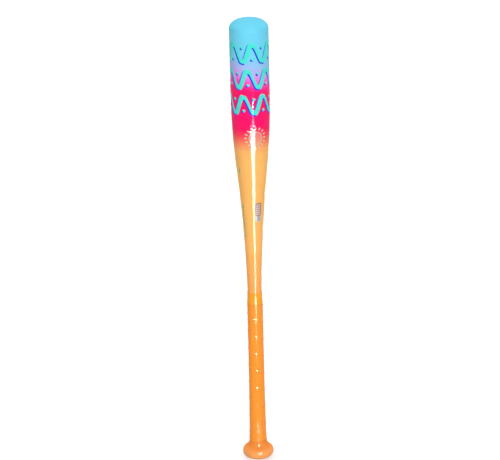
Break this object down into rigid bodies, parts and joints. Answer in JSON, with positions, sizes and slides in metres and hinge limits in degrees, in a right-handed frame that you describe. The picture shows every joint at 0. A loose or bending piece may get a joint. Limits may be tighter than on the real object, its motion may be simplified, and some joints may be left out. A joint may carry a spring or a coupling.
{
  "type": "tee ball bat",
  "caption": "Youth tee ball bat with a swaged aluminium tube, moulded end cap, welded round knob and spirally wound grip tape.",
  "frame": {"origin": "centre of the knob's flat foot, which the bat stands on", "axes": "+Z along the bat from the knob to the barrel end; -Y is the front, with the foil label 28 degrees to its right"},
  "size_m": [0.0572, 0.0572, 0.6858],
  "materials": {
    "faded_enamel": "gloss",
    "cap_plastic": "gloss",
    "adhesive": "satin",
    "knob_enamel": "gloss",
    "weld_metal": "satin",
    "bung_rubber": "matte",
    "disc_plastic": "gloss",
    "grip_polymer": "satin",
    "collar_rubber": "satin",
    "label_foil": "satin"
  },
  "bodies": {
    "root": {"bat_tube": "faded_enamel", "end_cap": "cap_plastic", "cap_bond": "adhesive", "knob": "knob_enamel", "knob_weld": "weld_metal", "knob_bung": "bung_rubber", "knob_disc": "disc_plastic", "grip_tape": "grip_polymer", "grip_collar": "collar_rubber", "foil_label": "label_foil"}
  },
  "joints": []
}
